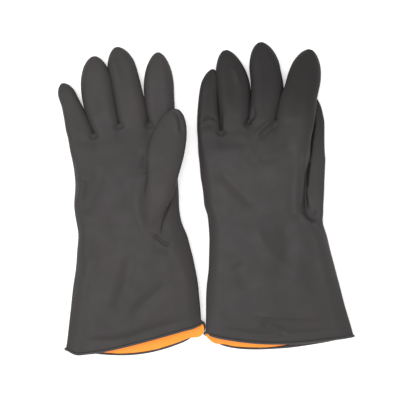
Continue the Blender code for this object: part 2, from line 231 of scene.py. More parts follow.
LEFT = {
    "rows": (
        (-27, 4.6, 134.4, 8.2, 8, 9.6, 6),
        (-18, 3.3, 116, 8, 11.5, 8.6, 6.4),
        (-9, 0.6, 112.6, 7.8, 12.2, 8.2, 6.6),
        (0, -0.3, 112.6, 7.6, 12.8, 8, 7),
        (9.5, -1.1, 113.2, 7.4, 13.4, 8, 7.4),
        (19, -2.6, 114, 7.2, 14.2, 8, 7.6),
        (28, -3.8, 114.8, 7, 15.2, 8, 7.2),
        (41, -5.2, 116.6, 6.8, 17.2, 8, 5.4),
        (54, -7, 117.9, 6.6, 18.6, 7.4, 4.8),
    ),
    "bend_row": 3,
    "cuff": (
        (0, 4.6, 134.4, 8.2, 8, 9.6, 6),
        (0.14, 5.7, 138, 8.4, 8, 9.4, 6),
        (0.4, 5.2, 146.3, 8.4, 8, 9, 6),
        (0.65, 2.8, 154.8, 7.8, 7.4, 8.2, 6),
        (0.95, 2.6, 166, 5.8, 5.8, 6, 4.8),
        (1, 1.2, 168, 5.2, 5.2, 5.4, 4.2),
    ),
    "upper_lip": (-153.8, -156.6, 9, 0.85),
    "lower_lip": (-157, -157, 14.4, 0.64),
    "posts": ((-8.4, 74), (18.2, 76), (48.8, 87.2), (79.5, 87.2), (122.2, 84)),
    "post_heights": (6.6, 8.4, 12.4, 17, 21.4),
    "fingers": {
        "little": (((4.3, 98, 6.2, 12.2), (5.9, 125, 5.6, 10.8), (9.4, 148, 5.3, 0)), 24, 5.2),
        "ring": (
            ((33.6, 100, 10.2, 16.9), (33.2, 118, 9.6, 18.2), (31.8, 129, 9, 18.2), (22.4, 169.4, 7, 0)),
            45, 6.3,
        ),
        "middle": (
            ((66.6, 100, 13.8, 15.9), (70.6, 120, 11.8, 17.8), (69.4, 139, 9.6, 17.2), (62.8, 178.4, 6.4, 0)),
            35, 6.3,
        ),
        "index": (
            ((102.9, 98, 19.6, 20.4), (105.5, 111, 17.4, 19.6), (109.4, 125.5, 14.6, 18.4), (119.9, 170.2, 6.6, 0)),
            40, 6.3,
        ),
    },
    "thumb": (
        (
            (118.6, -12, 7, 15.8), (118.5, 11, 6.4, 17), (118.5, 32, 5.8, 18),
            (118.6, 46, 5.4, 18.4), (118.5, 66, 5.2, 17.8), (121, 118.8, 5, 0),
        ),
        45, 5, 3.4,
    ),
    "tuck": (9, 8, 3.2, 2.2),
    "thick_roll": (118, 34, 0.9),
    "flank": 0,
    "opening_reach": 1.5,
    "slant": (20.75, 0),
    "hole": {
        "side": True,
        "corner": (123, -29, 14.4),
        "left": ((130.5, -27.5, 11.2), (117.5, -21.5, 12), (112.4, -10, 11.6), (112, 0, 12),
                 (112.6, 9.5, 12.6), (113.4, 19, 13.2), (114.4, 28, 14.2)),
        "middle": ((134.4, -28, 6.4), (125, -18, 6), (117, -9, 6), (112, 0, 6),
                   (110.5, 9.5, 6.5), (109, 19, 7), (109.5, 29, 8)),
        "right": ((130, -27, 1.2), (124, -18, 0.8), (117, -9, 0.8), (111, 0, 0.8),
                  (107.5, 9.5, 0.8), (105, 19, 1.2), (104, 28, 2.5)),
    },
}
GLOVES = {"right": RIGHT, "left": LEFT}
FINGERS = ("little", "ring", "middle", "index")

# The bead: its radius, its number of sides, and the height of the long soft waves in all the surfaces.
BEAD_RADIUS = 1.55
BEAD_SIDES = 12
RIPPLE = 0.22
# The orange wall's edge lies this far inside the mouth, but this far out and up at the folded corner.
EDGE_IN = 1.2
EDGE_OUT = 1.6
EDGE_UP = 1.2
# Heights below which the mouth's edge can be the folded corner, in the orange wall and the bead, and the lower lip.
CORNER_TOP = 7.0
BEAD_CORNER_TOP = 9.0
LOWER_LIP_TOP = 6.0

BODY = ("hand", "cuff")
TIPS = tuple(f"{finger}_{part}" for finger in FINGERS for part in ("knuckle", "tip"))
# Folds, in runs that share the groups they lie in and the height below which the surface takes part. A fold: its
# width, how high it stands (below zero for a groove), how much its left side is raised and its right side sunk, and
# its path in plan.
RIGHT_FOLDS = (
    (BODY, 18, (
        (3.8, -1.9, 0, (-67, 51), (-68.5, 43), (-70.5, 34)),
        (8, -1.5, 0, (-72, 56), (-75, 45), (-78, 33)),
    )),
    (BODY, 30, (
        (1.9, 0.8, 0, (-63, -37.5), (-54, -40.5), (-47, -46.5), (-38, -48.6)),
        (2, -2.3, 0, (-60, -41.5), (-53, -44.5), (-46, -50.3), (-36.5, -52.5)),
        (5, -0.9, 0, (-60, -50), (-48, -57), (-36, -58)),
        (2.4, -0.7, 0, (-132.5, 71), (-126.5, 69.6), (-120.5, 72.5)),
        (2.5, -0.8, 0, (-104, 80.5), (-98, 81), (-91, 84)),
        (2.4, -0.7, 0, (-70, 83.5), (-63.6, 82), (-57, 83.5)),
        (1.7, 0.42, 0, (-134, 68.5), (-126.5, 65.4), (-118.5, 69)),
        (1.7, 0.45, 0, (-106, 77.5), (-97.5, 76.4), (-89, 80.5)),
        (1.7, 0.45, 0, (-72, 80), (-63.5, 77.6), (-55.5, 80)),
        (1.6, 0.3, -1.4, (-144, 24), (-146, 32), (-147, 42)),
        (9, -2.3, 0.9, (-116, 36), (-124, 10), (-138, -22)),
        (5, 1.1, 0, (-138, 22), (-142, -2)),
        (9, -2.2, -1.1, (-84, -58), (-91, -95), (-104, -134)),
        (8, -2, -0.8, (-40, -92), (-62, -112), (-88, -136)),
        (9, 1.6, -1.1, (-122, -60), (-132, -92), (-140, -118)),
        (10, -1, 0, (-110, -12), (-96, -50)),
        (5, -1.5, 0.7, (-140, -159), (-100, -160), (-60, -148), (-22, -137)),
    )),
    (BODY, 18.5, ((1.8, -1.2, -0.5, (-38, 6), (-43, -11), (-48, -25), (-49.6, -40)),)),
    (("thumb",), 60, (
        (1.7, -1.5, 0, (-33, 97), (-28.4, 88), (-26.2, 72)),
        (2, 0.8, 0, (-36.4, 95), (-32.4, 86), (-30.4, 72)),
    )),
    (TIPS, 60, (
        (3.2, 0.7, 0, (-49, 148), (-46, 138), (-47.5, 126)),
        (3.6, 0.5, 0, (-104, 160), (-101, 148), (-99, 136)),
    )),
)
LEFT_FOLDS = (
    (("hand", "little_knuckle"), 60, (
        (1.6, -1.5, 0.7, (-4, 88), (3, 92.6), (9, 92), (14.5, 88.5)),
        (3.5, -0.9, 0.5, (-5, 80), (4, 84), (12, 82)),
    )),
    (BODY, 60, (
        (2.3, -0.7, 0, (11.5, 76), (18, 73.4), (24.5, 76)),
        (1.7, 0.45, 0, (10, 73), (18, 69.4), (26, 73)),
        (1.8, 1, 0, (41, 86), (43.6, 80), (49.5, 77)),
        (2.6, 1.3, 0.8, (56, 69), (65, 79), (76, 88)),
        (3.4, -1.8, 0, (61, 66), (71, 77), (82, 83)),
        (6, -0.9, 0.7, (10, 62), (30, 65), (52, 62)),
        (8, -2.3, 1.1, (16, 36), (36, 14), (59, -9)),
        (8, -1.9, -1.1, (54, 43), (78, 46), (104, 58)),
        (6, -1, 0, (60, 62), (52, 36)),
        (2.4, 1.3, 0, (114, 60), (110.6, 38), (109.4, 10), (109.6, -14)),
        (2.4, 1.1, 0, (110, -12), (112.5, -25), (120, -29), (128, -26), (131.5, -14)),
        (10, -1.8, 1.1, (88, -22), (96, -55), (86, -92)),
        (8, 1.6, 1.1, (56, -34), (70, -62), (98, -86)),
        (9, -1.7, 0.5, (36, -70), (52, -104)),
        (9, -1, 0, (118, -66), (126, -110)),
        (3.4, 1.3, 0.9, (54, -133), (92, -134), (134, -136)),
        (4.5, -2.2, 0, (62, -139), (76, -146), (94, -152)),
        (3.6, -1.1, 0.5, (14, -147), (60, -153), (110, -152), (150, -148)),
    )),
    (("hand", "ring_knuckle"), 60, ((1.8, 1, 0, (21.4, 98), (21.6, 88), (21.4, 77)),)),
    (("hand", "middle_knuckle"), 60, ((2, -1.7, -0.5, (54.6, 102), (54.4, 94), (49.8, 87.5), (45.5, 81.5)),)),
    (BODY, 16, ((2.4, -1.3, 0, (115, -14), (119, -21.5), (124.5, -21), (127, -13)),)),
    (TIPS, 60, ((2.6, 0.7, 0, (30, 150), (36, 140), (38, 128)),)),
    (BODY, 13.4, ((2.4, -3.4, 0, (117, -19), (114.2, -6), (114, 12), (115.6, 32), (118, 50)),)),
    (("thumb",), 60, ((2.6, -3, 0, (116, 40), (118.4, 56), (121, 76), (124, 96)),)),
)
FOLDS = {"right": RIGHT_FOLDS, "left": LEFT_FOLDS}


# ---------------------------------------------------------------- curves and sections

def lerp(a, b, t):
    return a + (b - a) * t


def swell(across):
    """How far a flattened tube's wall stands out, from 1 in the middle to 0 at its edges."""
    return (1.0 - min(abs(across), 1.0) ** SWELL_POWER) ** (1.0 / SWELL_POWER)


def smooth_table(rows, at):
    """A row of a table, read smoothly at any value of its first column (a Catmull-Rom spline)."""
    keys = [row[0] for row in rows]
    i = min(max(int(np.searchsorted(keys, at, side="right")) - 1, 0), len(rows) - 2)
    before, first, second, after = (np.array(rows[min(max(k, 0), len(rows) - 1)]) for k in range(i - 1, i + 3))
    span = second[0] - first[0]
    t = (at - first[0]) / span
    slope_a = (second - before) / max(second[0] - before[0], 1e-9) * span
    slope_b = (after - first) / max(after[0] - first[0], 1e-9) * span
    return (
        (2 * t**3 - 3 * t**2 + 1) * first + (t**3 - 2 * t**2 + t) * slope_a
        + (3 * t**2 - 2 * t**3) * second + (t**3 - t**2) * slope_b
    )


class Stall:
    """A finger's or thumb's stall: a smooth centre line with widths, measured from its root along its length. The
    root's roll is lost over roll_turn. A finger also has a root section and the direction of the line of roots."""

    def __init__(self, sections, closing, thickness, roll, roll_turn, root=None, root_across=None):
        points = [np.array(s, float) for s in sections]
        if root is not None:
            points.insert(0, np.array(root, float))
        steps = [np.linalg.norm((b - a)[:2]) for a, b in zip(points, points[1:])]
        distances = np.concatenate(([0.0], np.cumsum(steps)))
        points[-1][3] = points[-2][3]
        self.table = [(d, *p) for d, p in zip(distances, points)]
        self.length = distances[-1]
        self.closing = closing
        self.thickness = thickness
        self.roll = roll
        self.roll_turn = roll_turn
        self.root_across = root_across

    def at(self, distance):
        """Centre, direction, half width and half thickness of the section at a distance from the root."""
        row = smooth_table(self.table, distance)
        nearby = smooth_table(self.table, distance + 1.0)
        along = nearby[1:3] - row[1:3]
        along /= np.linalg.norm(along)
        left = min(max((self.length - distance) / self.closing, 0.0), 1.0)
        share = (1.0 - (1.0 - left) ** 2) ** BULLET_POWER
        thick = self.thickness * lerp(TIP_FULLNESS, 1.0, share)
        return row[1:4], along, row[4] * share, thick

    def line(self):
        """Many distances along the centre line, and the spots in plan that lie there."""
        distances = np.linspace(0.0, self.length, 200)
        return distances, np.array([smooth_table(self.table, d)[1:3] for d in distances])

    def nearest(self, spot):
        """The distance along the centre line that is closest to a spot."""
        distances, spots = self.line()
        return float(distances[np.argmin(np.linalg.norm(spots - spot[:2], axis=1))])

    def nearest_y(self, y):
        """The distance along the centre line at which it crosses a y."""
        distances, spots = self.line()
        return float(distances[np.argmin(np.abs(spots[:, 1] - y))])

    def closing_sections(self):
        """Where along the stall the sections of its end lie."""
        return self.length - self.closing * np.array(CLOSING_STEPS)

    def point(self, distance, across, up):
        """A point of the section at a distance: across from -1 left to 1 right, up from -1 to 1."""
        centre, along, half, thick = self.at(distance)
        side = np.array((along[1], -along[0], 0.0))
        if self.root_across is not None:
            side = lerp(self.root_across, side, min(distance / ROOT_TURN, 1.0))
            side /= np.linalg.norm(side)
        rolled = self.roll * across * max(0.0, 1.0 - distance / self.roll_turn)
        spot = centre + side * (half * across) + np.array((0.0, 0.0, thick * up + rolled))
        spot[2] = max(spot[2], REST)
        return spot


def stall_ring(stall, distance, acrosses):
    """A closed ring: top sheet left to right, bottom sheet right to left."""
    flat = STALL_SIDE / stall.thickness
    heights = [lerp(flat, 1.0, swell(a)) for a in acrosses]
    top = [stall.point(distance, a, h) for a, h in zip(acrosses, heights)]
    bottom = [stall.point(distance, a, -h) for a, h in zip(acrosses, heights)]
    return top, bottom[::-1]


def thumb_ring(stall, distance, slant=(0, 0)):
    """A closed ring of sixteen: seven on top, the right side, seven below and the left side. A slant moves points
    back along the stall by how far across and how far up they are."""
    places = [(a, swell(a)) for a in THUMB_ACROSS] + [(1.0, 0.0)]
    places += [(a, -swell(a)) for a in THUMB_ACROSS[::-1]] + [(-1.0, 0.0)]
    return [stall.point(distance - slant[0] * a - slant[1] * u, a, u) for a, u in places]


# ---------------------------------------------------------------- the cage

class Cage:
    """Points that the finished surface passes through, and the quads between them, each in a named group."""

    def __init__(self):
        self.points = []
        self.quads = []
        self.groups = []

    def add(self, points):
        start = len(self.points)
        self.points += [np.array(p, float) for p in points]
        return list(range(start, len(self.points)))

    def tube(self, lower, upper, group, skip=()):
        """Quads between two closed rings, leaving out the gaps whose numbers are in skip."""
        for i in range(len(lower)):
            j = (i + 1) % len(lower)
            if i not in skip:
                self.quads.append((lower[i], lower[j], upper[j], upper[i]))
                self.groups.append(group)

    def cap(self, ring, group):
        """Close a finger's ring with quads from its left to its right."""
        for i in range(FINGER_SPAN):
            self.quads.append((ring[i], ring[i + 1], ring[-2 - i], ring[-1 - i]))
            self.groups.append(group)


def sheet_rows(left, right, shares, y, edge_heights, rise, drop):
    """Top points left to right and bottom points right to left of a body row."""
    top, bottom = [], []
    for share, y_here in zip(shares, np.broadcast_to(y, len(shares))):
        x = lerp(left, right, share)
        z = lerp(*edge_heights, share)
        out = swell(2.0 * share - 1.0)
        top.append((x, y_here, z + SIDE + rise * out))
        bottom.append((x, y_here, max(z - SIDE - drop * out, REST)))
    return top, bottom[::-1]


def lip_y(lip, u):
    left, right, bulge, lean = lip
    return lerp(left, right, u) - bulge * math.sin(math.pi * min(max(u, 0.0), 1.0) ** lean)


def root_spots(posts):
    """x and y of every column at the line of the roots."""
    spots = []
    for a, b in zip(posts, posts[1:]):
        for across in FINGER_ACROSS[:-1]:
            spots.append([lerp(a[k], b[k], (across + 1) / 2) for k in range(2)])
    return np.array([*spots, posts[-1]]).T


def root_shares(posts):
    """The columns of the roots as shares of their width."""
    xs, _ = root_spots(posts)
    return (xs - xs[0]) / (xs[-1] - xs[0])


def towards_roots(row):
    """How far a hand row's columns have turned into those of the roots."""
    return max(0.0, (row - HOLE_ROWS + 1) / ROOT_ROWS)


def top_shares(glove, row):
    """Shares of the width at the top sheet's columns in a hand row: where the thumb's opening needs them, and then
    more and more like the columns of the fingers."""
    shares = np.linspace(0.0, 1.0, COLUMNS)
    if not glove["hole"]["side"]:
        k = min(row, HOLE_ROWS - 1)
        _, left, right = glove["rows"][k][:3]
        a, b = glove["hole"]["left"][k][0], glove["hole"]["right"][k][0]
        knots = (0, HOLE_COLUMN, HOLE_COLUMN + 1, HOLE_COLUMN + 2, COLUMNS - 1)
        xs = np.interp(range(COLUMNS), knots, (left, a, (a + b) / 2, b, right))
        shares = (xs - left) / (right - left)
    return lerp(shares, root_shares(glove["posts"]), towards_roots(row))


def body_rings(glove):
    """The body's rings from the mouth to the roots of the fingers, and the index of the first hand row."""
    shares_root = root_shares(glove["posts"])
    ys = root_spots(glove["posts"])[1]
    even = np.linspace(0.0, 1.0, COLUMNS)
    wrist_y = glove["rows"][0][0]
    rings = []
    for way in CUFF_SECTIONS:
        _, left, right, low_left, low_right, rise, drop = smooth_table(glove["cuff"], way)
        shares = lerp(top_shares(glove, 0), even, min(1.0, way * EVEN_RATE))
        top, _ = sheet_rows(left, right, shares, 0.0, (low_left, low_right), rise, drop)
        _, bottom = sheet_rows(left, right, even, 0.0, (low_left, low_right), rise, drop)
        ring = []
        for sheet, lip, us in ((top, glove["upper_lip"], shares), (bottom, glove["lower_lip"], even[::-1])):
            ring += [(x, lerp(wrist_y, lip_y(lip, u), way), z) for (x, _, z), u in zip(sheet, us)]
        rings.append(ring)
    first_hand = len(rings)
    for i, (y, left, right, low_left, low_right, rise, drop) in enumerate(glove["rows"]):
        sheets = []
        for shares in (top_shares(glove, i), lerp(even, shares_root, towards_roots(i))):
            arch = np.interp(shares, shares_root, ys - ys[0]) * towards_roots(i)
            sheets.append(sheet_rows(left, right, shares, y + arch, (low_left, low_right), rise, drop))
        rings.append(sheets[0][0] + sheets[1][1])
    rings.append(root_row(glove, WEB_ROW, WEB_FULLNESS))
    rings.append(root_row(glove, 0.0, 0.0))
    return rings, first_hand


def root_row(glove, back, fullness):
    """The row of the roots, or the row that far below it. The webs between the fingers dip unless they are full."""
    posts, heights = glove["posts"], glove["post_heights"]
    top, bottom = [], []
    for c in range(COLUMNS):
        f = min(c // FINGER_SPAN, len(FINGERS) - 1)
        a = FINGER_ACROSS[c - f * FINGER_SPAN]
        t = (a + 1) / 2
        x, y = lerp(posts[f][0], posts[f + 1][0], t), lerp(posts[f][1], posts[f + 1][1], t)
        z = lerp(heights[f], heights[f + 1], t)
        out = swell(a)
        if 0 < c < COLUMNS - 1:
            out = lerp(out, 1.0, fullness)
        else:
            last_y, left, right = glove["rows"][-1][:3]
            last_y += 0.0 if c == 0 else (posts[-1][1] - posts[0][1]) * (ROOT_ROWS - 1) / ROOT_ROWS
            x += ((left if c == 0 else right) - x) * back / (y - last_y)
        stands = STALL_SIDE + (glove["fingers"][FINGERS[f]][2] - STALL_SIDE) * out
        top.append((x, y - back, z + stands))
        bottom.append((x, y - back, max(z - stands, REST)))
    return top + bottom[::-1]


def thumb_opening(glove, rows, first):
    """The ring of sixteen cage points round the thumb's opening, and the gaps of the body's rings that it takes."""
    at_side = glove["hole"]["side"]
    start = COLUMNS - 1 if at_side else HOLE_COLUMN
    c0, c1, c2 = ([row[start + k] for row in rows[first : first + HOLE_ROWS]] for k in range(3))
    if at_side:
        ring = c0[::-1] + [c1[0]] + c2 + [c1[-1]]
    else:
        ring = c0[2::-1] + [c1[0]] + c2 + [c1[-1]] + c0[:2:-1]
    return ring, (start, start + 1)


def place_opening(hole, rings, first):
    """Move the body's points round the thumb's opening to where it is."""
    for k, (left, right) in enumerate(zip(hole["left"], hole["right"])):
        ring = rings[first + k]
        if hole["side"]:
            ring[COLUMNS - 1 : COLUMNS + 2] = left, hole["middle"][k], right
            if k == 0:
                ring[COLUMNS - 2] = hole["corner"]
        else:
            ring[HOLE_COLUMN] = (*left, ring[HOLE_COLUMN][2])
            ring[HOLE_COLUMN + 2] = (*right, ring[HOLE_COLUMN + 2][2])


def add_finger(cage, name, glove, f, roots):
    """Build a finger on its part of the row of the roots."""
    finger = FINGERS[f]
    (a, b), (za, zb) = glove["posts"][f : f + 2], glove["post_heights"][f : f + 2]
    root = ((a[0] + b[0]) / 2, (a[1] + b[1]) / 2, (za + zb) / 2, math.dist(a, b) / 2)
    line = np.array((b[0] - a[0], b[1] - a[1], 0.0)) / math.dist(a, b)
    stall = Stall(*glove["fingers"][finger], (zb - za) / 2, ROLL_TURN, root, line)
    first_joint = stall.nearest(joint_place(f"{name}_{finger}_bend"))
    second_joint = stall.nearest(joint_place(f"{name}_{finger}_tip_bend"))
    middle = (first_joint + second_joint) / 2
    sections = [
        (FIRST_SECTION, "hand"), (first_joint - (FINGER_ZONE + BEFORE_BEND), "hand"),
        (first_joint, f"{finger}_knuckle"), (middle, f"{finger}_knuckle"),
    ]
    tip = [d for d in stall.closing_sections() if d > middle + AFTER_MIDDLE]
    if tip[0] - middle > LONGEST_GAP:
        tip.insert(0, (middle + tip[0]) / 2)
    start = f * FINGER_SPAN
    ring = roots[start : start + FINGER_SPAN + 1] + roots[-1 - start - FINGER_SPAN : len(roots) - start]
    for distance, group in sections + [(d, f"{finger}_tip") for d in tip]:
        upper = cage.add(sum(stall_ring(stall, distance, FINGER_ACROSS), []))
        cage.tube(ring, upper, group)
        ring = upper
    cage.cap(ring, f"{finger}_tip")


def add_thumb(cage, name, glove, opening):
    """Build the thumb on its opening."""
    thumb = Stall(*glove["thumb"], THUMB_ROLL_TURN)
    across, up = glove["slant"]
    slanted = thumb_ring(thumb, thumb.nearest_y(SLANT_MIDDLE), (across, up))
    turning = thumb_ring(thumb, thumb.nearest_y(TURN_MIDDLE), (across * TURN_SLANT, up * TURN_SLANT))
    pulls = np.array(FLANK_PULL) * glove["flank"]
    slanted = [lerp(s, cage.points[h], pull) for h, s, pull in zip(opening, slanted, pulls)]
    half_way = [lerp(cage.points[h], s, 0.5) for h, s in zip(opening, slanted)]
    joint = thumb.nearest(joint_place(f"{name}_thumb_swing"))
    before, after, may_close = THUMB_STEPS
    sections = [(half_way, "cuff"), (slanted, "cuff"), (turning, "hand"), (thumb_ring(thumb, joint + before), "hand")]
    closing = [d for d in thumb.closing_sections() if d > joint + may_close]
    sections += [(thumb_ring(thumb, d), "thumb") for d in (joint, joint + after, *closing)]
    ring = opening
    for points, group in sections:
        upper = cage.add(points)
        cage.tube(ring, upper, group)
        ring = upper
    close_sixteen(cage, ring)


def build_cage(name, glove):
    cage = Cage()
    rings, first = body_rings(glove)
    place_opening(glove["hole"], rings, first)
    rows = [cage.add(ring) for ring in rings]
    opening, gaps = thumb_opening(glove, rows, first)
    for r in range(len(rows) - 1):
        taken = gaps if first <= r < first + HOLE_ROWS - 1 else ()
        cage.tube(rows[r], rows[r + 1], "cuff" if r < first + glove["bend_row"] else "hand", taken)
    for f in range(len(FINGERS)):
        add_finger(cage, name, glove, f, rows[-1])
    add_thumb(cage, name, glove, opening)
    return cage


def close_sixteen(cage, ring):
    """Close the thumb's last ring with quads from its left side to its right, and a triangle at either side."""
    top, right, bottom, left = ring[:7], ring[7], ring[8:15][::-1], ring[15]
    for i in range(6):
        cage.quads.append((top[i], top[i + 1], bottom[i + 1], bottom[i]))
    cage.quads += [(top[6], right, bottom[6]), (left, top[0], bottom[0])]
    cage.groups += ["thumb"] * 8


def evening_lines(glove):
    """Where the surface is evened out, how widely and how much."""
    roots = [(x, y - 1.0) for x, y in glove["posts"]]
    opening = [spot[:2] for spot in glove["hole"]["left"]]
    x, y = glove["thumb"][0][-1][:2]
    tip = [(x - 4.0, y - 0.5), (x + 4.0, y - 0.5)]
    return ((roots, *ROOT_EVENING), (opening, glove["opening_reach"], OPENING_ROUNDS), (tip, *THUMB_TIP_EVENING))


def joint_place(joint):
    return np.array(JOINTS[joint]["pos_m"]) / MM - LAYOUT


# ---------------------------------------------------------------- the smooth surface

def surface_mesh(name, cage, level):
    """Subdivide the cage so that the surface passes through its points. Returns the mesh and its groups' names."""
    names = sorted(set(cage.groups))
    mesh = bpy.data.meshes.new(name)
    mesh.from_pydata([tuple(p) for p in cage.points], [], cage.quads)
    mesh.polygons.foreach_set("material_index", [names.index(g) for g in cage.groups])
    for _ in names:
        mesh.materials.append(None)
    obj = bpy.data.objects.new(name, mesh)
    bpy.context.scene.collection.objects.link(obj)
    subdivision = obj.modifiers.new("smooth", "SUBSURF")
    subdivision.use_limit_surface = True
    subdivision.levels = 1
    goal = np.array(cage.points)
    control = goal.copy()
    for _ in range(FITTING_ROUNDS):
        mesh.vertices.foreach_set("co", control.astype(np.float32).ravel())
        mesh.update()
        shown = obj.evaluated_get(bpy.context.evaluated_depsgraph_get()).data
        reached = read_rows(shown.vertices, "co")[: len(goal)]
        control += (goal - reached) * FITTING_GAIN
    mesh.vertices.foreach_set("co", control.astype(np.float32).ravel())
    mesh.update()
    subdivision.levels = level
    graph = bpy.context.evaluated_depsgraph_get()
    fine = bpy.data.meshes.new_from_object(obj.evaluated_get(graph))
    bpy.data.objects.remove(obj)
    bpy.data.meshes.remove(mesh)
    return fine, names


def read_rows(things, what):
    """A property of three numbers of all of a mesh's vertices or normals."""
    rows = np.empty(len(things) * 3, np.float32)
    things.foreach_get(what, rows)
    return rows.reshape(-1, 3).astype(float)


def surface_faces(mesh):
    """The corners of every face, and the number of its group."""
    faces = np.empty(len(mesh.loops), np.int32)
    mesh.loops.foreach_get("vertex_index", faces)
    groups = np.empty(len(mesh.polygons), np.int32)
    mesh.polygons.foreach_get("material_index", groups)
    return faces.reshape(-1, 4), groups


def face_edges(faces):
    """The directed edges of every face."""
    return np.vstack([np.stack((faces[:, k], faces[:, (k + 1) % 4]), axis=1) for k in range(4)])


# ---------------------------------------------------------------- folds

def drawn(path, count=24):
    """A smooth line through a few spots in plan."""
    rows = [(float(i), *spot) for i, spot in enumerate(path)]
    return np.array([smooth_table(rows, t)[1:] for t in np.linspace(0.0, len(path) - 1.0, count)])


def beside(points, line):
    """For every point, its distance from a line in plan, positive to the line's left, and how far along it lies."""
    nearest = np.full(len(points), 1e9)
    signed = np.zeros(len(points))
    share = np.zeros(len(points))
    steps = np.linalg.norm(np.diff(line, axis=0), axis=1)
    starts = np.concatenate(([0.0], np.cumsum(steps)))
    for a, b, start, step in zip(line, line[1:], starts, steps):
        along = (b - a) / max(step, 1e-9)
        away = points[:, :2] - a
        t = np.clip(away @ along, 0.0, step)
        off = away - t[:, None] * along
        distance = np.linalg.norm(off, axis=1)
        closer = distance < nearest
        nearest[closer] = distance[closer]
        side = np.sign(along[0] * off[:, 1] - along[1] * off[:, 0])
        signed[closer] = (distance * side)[closer]
        share[closer] = ((start + t) / starts[-1])[closer]
    return signed, share


def behind(folds):
    """The folds as the wall behind takes them: no ridges, and grooves that stay clear of the front."""
    def clear(width, height, _, *path):
        return width + BEHIND_WIDER, height * BEHIND_DEEPER[0] - BEHIND_DEEPER[1], 0, *path

    return [(groups, ceiling, [clear(*fold) for fold in run if fold[1] < 0]) for groups, ceiling, run in folds]


def push_folds(points, normals, member, folds):
    """Raise or sink the upward-facing surface along each fold. A fold is at its full height along its middle and
    fades towards its ends."""
    moved = points.copy()
    facing = np.clip(normals[:, 2] * 1.4, 0.0, 1.0)
    for groups, ceiling, run in folds:
        taking_part = np.zeros(len(points), bool)
        for group in groups:
            taking_part |= member[group]
        free = taking_part * facing * np.clip((ceiling - points[:, 2]) / CEILING_FADE, 0.0, 1.0)
        for width, height, lean, *path in run:
            signed, share = beside(points, drawn(path))
            fade = np.clip(np.minimum(share, 1.0 - share) / END_FADE, 0.0, 1.0)
            fade = fade * fade * (3.0 - 2.0 * fade) * (1.0 - END_HEIGHT) + END_HEIGHT
            bell = np.exp(-((signed / width) ** 2))
            moved += normals * (bell * fade * (height + lean * signed / width) * free)[:, None]
    return moved


def soft_ripples(points, normals, depth):
    """Long shallow waves, like those of thin rubber that has lain folded."""
    x, y, _ = points.T
    wave = np.sin(x / 13.0 + 0.6 * np.sin(y / 21.0) + y / 37.0)
    wave += np.sin(y / 17.0 + 1.1 * np.sin(x / 27.0) + 1.3)
    wave += 0.6 * np.sin((x + y) / 9.0 + 1.7 * np.sin((x - y) / 31.0))
    return points + normals * (wave * depth)[:, None]


def relaxed(points, faces, lines):
    """Even out the surface along lines in plan: each line has a path, a reach and a number of rounds."""
    pairs = np.unique(np.sort(face_edges(faces), axis=1), axis=0)
    counts = np.bincount(pairs.ravel(), minlength=len(points))[:, None]
    moved = points.copy()
    for path, reach, rounds in lines:
        distance, _ = beside(points, np.array(path))
        weight = np.exp(-((distance / reach) ** 2))[:, None]
        for _ in range(rounds):
            total = np.zeros_like(moved)
            for axis in range(3):
                total[:, axis] += np.bincount(pairs[:, 0], moved[pairs[:, 1], axis], len(points))
                total[:, axis] += np.bincount(pairs[:, 1], moved[pairs[:, 0], axis], len(points))
            moved += (total / np.maximum(counts, 1) - moved) * EVENING_STEP * weight
    return moved


def shaped_surface(name, cage, level, folds, lines):
    """The glove's surface, evened out and folded: points, normals, faces, group numbers and group names."""
    mesh, names = surface_mesh(name, cage, level)
    faces, groups = surface_faces(mesh)
    points, normals = read_rows(mesh.vertices, "co"), read_rows(mesh.vertex_normals, "vector")
    member = {}
    for index, group in enumerate(names):
        member[group] = np.zeros(len(points), bool)
        member[group][np.unique(faces[groups == index])] = True
    rounds = 4 ** (level - COARSE)
    points = relaxed(points, faces, [(path, reach, steps * rounds) for path, reach, steps in lines])
    points = soft_ripples(points, normals, RIPPLE)
    points = push_folds(points, normals, member, folds)
    points[:, 2] = np.maximum(points[:, 2], REST)
    mesh.vertices.foreach_set("co", points.astype(np.float32).ravel())
    mesh.update()
    normals = read_rows(mesh.vertex_normals, "vector")
    bpy.data.meshes.remove(mesh)
    return points, normals, faces, groups, names


# ---------------------------------------------------------------- pieces

def border_edges(faces):
    """The directed edges of a patch of faces that no other face shares."""
    pairs = face_edges(faces)
    pairs = pairs[pairs[:, 0] != pairs[:, 1]]
    known = set(map(tuple, pairs))
    return [(a, b) for a, b in known if (b, a) not in known]


def wall_piece(name, points, normals, faces, outer, inner, material):
    """A closed wall between two offsets of a patch of the surface, in from it, with rims along its border. It is
    shaded with the whole surface's normals, so that no seam shows between pieces."""
    used, local = np.unique(faces, return_inverse=True)
    local = local.reshape(-1, 4)
    count = len(used)
    base, direction = points[used], normals[used]
    places = np.vstack((base - direction * outer, base - direction * inner))
    rims = [(b, a, a + count, b + count) for a, b in border_edges(local)]
    polygons = np.vstack((local, local[:, ::-1] + count, rims))
    mesh = bpy.data.meshes.new(name)
    mesh.from_pydata(((places + LAYOUT) * MM).tolist(), [], polygons.tolist())
    smooth = np.ones(len(polygons), bool)
    smooth[2 * len(local) :] = False
    mesh.polygons.foreach_set("use_smooth", smooth)
    # A zero normal leaves a rim's own.
    front, back = direction[local.ravel()], -direction[local[:, ::-1].ravel()]
    mesh.normals_split_custom_set(np.vstack((front, back, np.zeros((len(rims) * 4, 3)))).tolist())
    return linked(mesh, material)


def linked(mesh, material):
    """An object of a mesh, in the scene."""
    mesh.materials.append(material)
    obj = bpy.data.objects.new(mesh.name, mesh)
    bpy.context.scene.collection.objects.link(obj)
    return obj


def closed_loop(edges):
    """Put a patch's border edges in order."""
    following = dict(edges)
    start = min(following)
    loop = [start]
    while following[loop[-1]] != start:
        loop.append(following[loop[-1]])
    return loop


